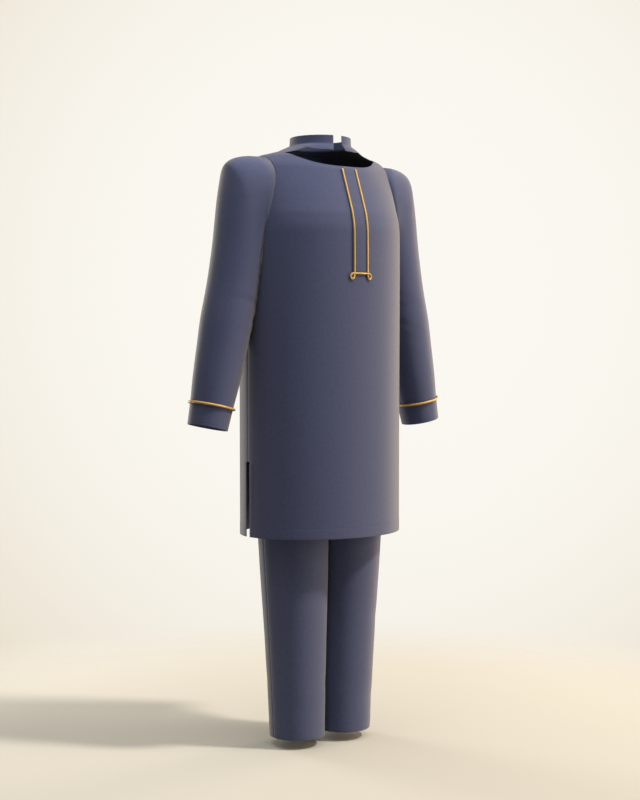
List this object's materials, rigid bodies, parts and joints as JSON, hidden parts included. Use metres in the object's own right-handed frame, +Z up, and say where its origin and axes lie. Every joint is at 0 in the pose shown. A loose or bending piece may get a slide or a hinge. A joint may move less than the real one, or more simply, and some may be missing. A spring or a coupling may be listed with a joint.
{
  "type": "senator kaftan",
  "caption": "Knee-length tunic with band collar, scooped front neckline, gold-corded placket, piped cuffs and side slits, over plain straight trousers, hollow as worn.",
  "frame": {"origin": "on the body axis, at the level of the neck-shoulder point, where the garment hangs from its wearer", "axes": "+Z up, the wearer faces -Y, +X is the wearer's left"},
  "size_m": [0.7478, 0.3495, 1.497],
  "materials": {
    "navy_cloth": "matt suiting twill with a soft brushed nap",
    "gold_cord": "twisted gold braid cord with a satin lustre"
  },
  "bodies": {
    "root": {"front": "navy_cloth", "back": "navy_cloth", "collar": "navy_cloth", "placket": "navy_cloth", "waistband": "navy_cloth", "sleeve_left": "navy_cloth", "sleeve_right": "navy_cloth", "cuff_left": "navy_cloth", "cuff_right": "navy_cloth", "trouser_front_left": "navy_cloth", "trouser_front_right": "navy_cloth", "trouser_back_left": "navy_cloth", "trouser_back_right": "navy_cloth", "placket_bar": "gold_cord", "placket_cord_left": "gold_cord", "placket_cord_right": "gold_cord", "cuff_piping_left": "gold_cord", "cuff_piping_right": "gold_cord"}
  },
  "joints": []
}
